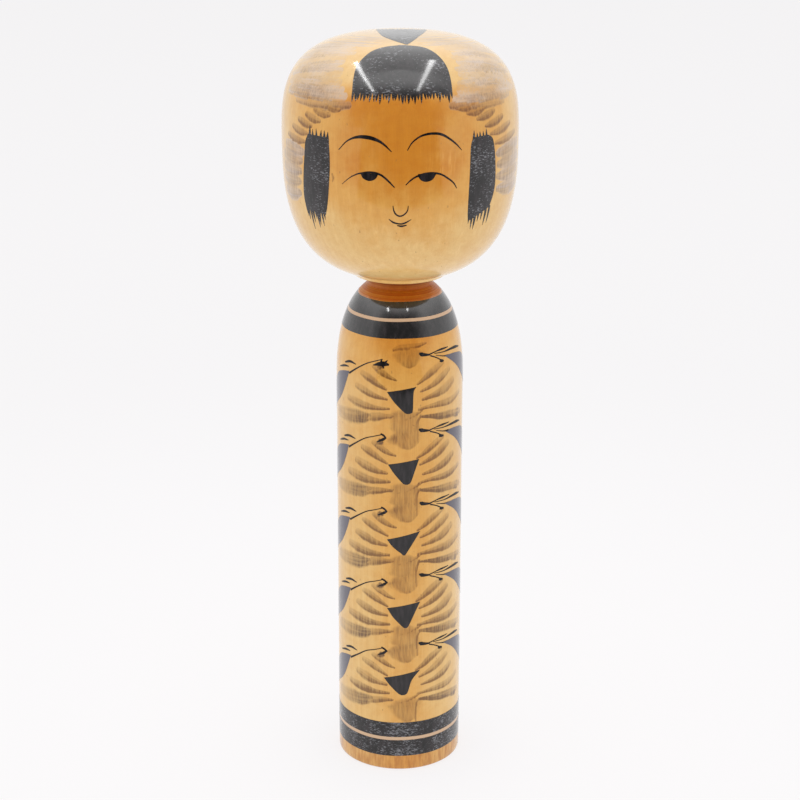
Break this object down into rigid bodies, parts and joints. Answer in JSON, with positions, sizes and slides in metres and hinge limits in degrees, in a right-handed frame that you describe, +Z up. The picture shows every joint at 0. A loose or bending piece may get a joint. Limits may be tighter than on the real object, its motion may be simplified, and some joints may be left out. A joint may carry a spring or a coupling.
{
  "type": "kokeshi doll",
  "caption": "Turned wooden kokeshi doll with a large squarish head pegged onto a straight cylindrical body, painted in black ink with faded flowers; the head turns by hand.",
  "frame": {"origin": "centre of the flat base, on the surface that the doll stands on", "axes": "+Z up along the turning axis; the doll faces -Y; +X is to the right of someone facing it"},
  "size_m": [0.092, 0.092, 0.303],
  "materials": {
    "body_wood": "waxed satin, aged amber",
    "head_wood": "waxed gloss, aged amber",
    "peg_wood": "bare"
  },
  "bodies": {
    "body": {"body": "body_wood"},
    "head": {"head": "head_wood", "neck_peg": "peg_wood"}
  },
  "joints": [
    {"name": "head_turn", "type": "hinge", "parent": "body", "child": "head", "pos_m": [0, 0, 0.2085], "axis": [0, 0, 1], "continuous": true}
  ]
}
